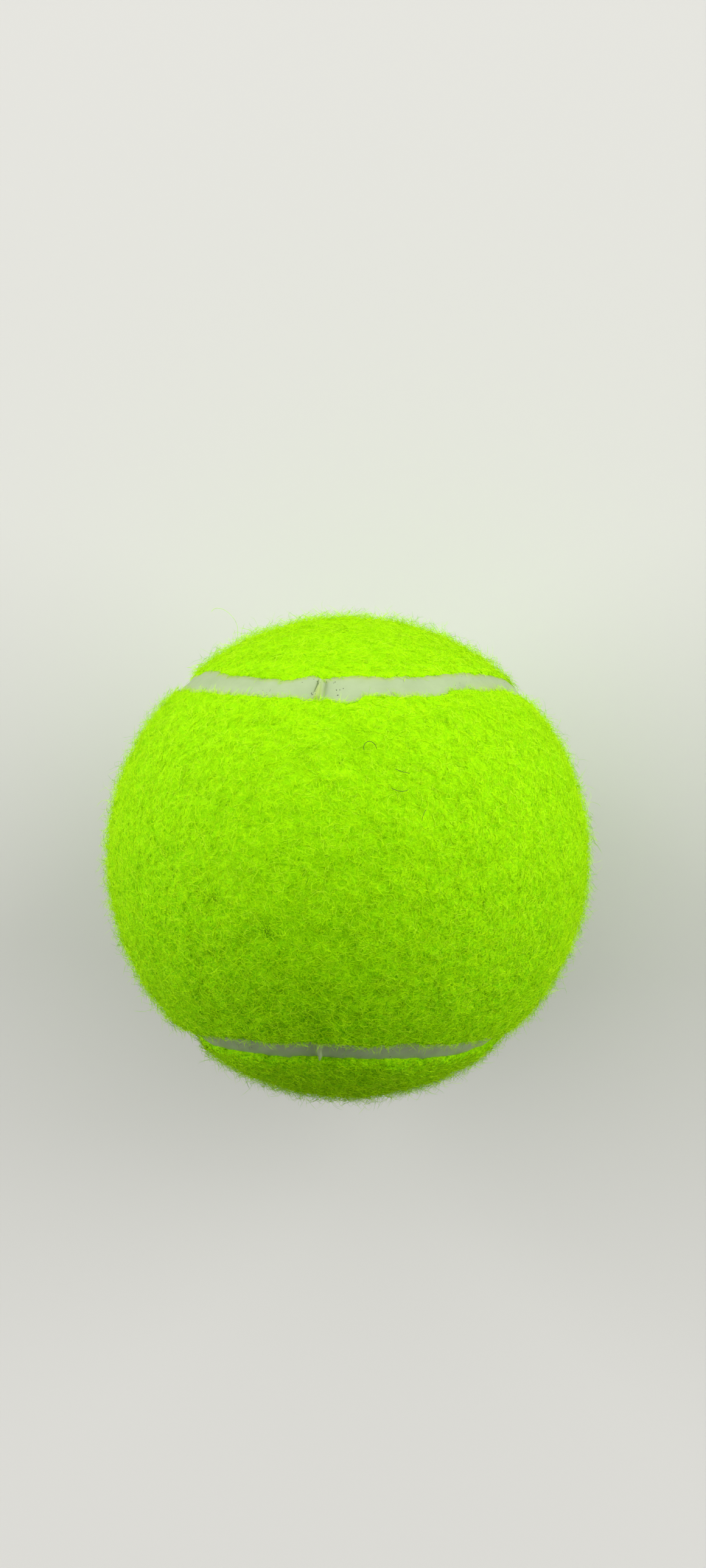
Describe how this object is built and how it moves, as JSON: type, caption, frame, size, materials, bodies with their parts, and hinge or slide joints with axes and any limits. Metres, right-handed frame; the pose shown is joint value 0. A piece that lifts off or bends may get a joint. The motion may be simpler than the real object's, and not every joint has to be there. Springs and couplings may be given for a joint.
{
  "type": "tennis ball",
  "caption": "Tennis ball: hollow rubber core of joined half shells, covered by interlocking dumbbell felt panels with a sunken pale rubber seam, for bouncing and hitting.",
  "frame": {"origin": "the ball's middle", "axes": "+Z through the middle of the upper felt panel's waist; +X along the upper panel's length; +Y along the lower panel's length"},
  "size_m": [0.0666, 0.0666, 0.0666],
  "materials": {
    "core_rubber": "moulded natural rubber, matt",
    "joint_cement": "vulcanised cement, slightly glossy",
    "coat_cement": "dried rubber solution, satin",
    "backing_rubber": "rubber solution rolled into the back of the cloth, matt",
    "optic_felt": "napped wool and nylon felt, dyed optic yellow, fuzzy",
    "seam_rubber": "vulcanised off-white rubber, matt"
  },
  "bodies": {
    "root": {"core_half_upper": "core_rubber", "core_half_lower": "core_rubber", "core_joint_cement": "joint_cement", "core_cement_coat": "coat_cement", "upper_panel_backing": "backing_rubber", "lower_panel_backing": "backing_rubber", "upper_felt_panel": "optic_felt", "lower_felt_panel": "optic_felt", "seam_band": "seam_rubber"}
  },
  "joints": []
}
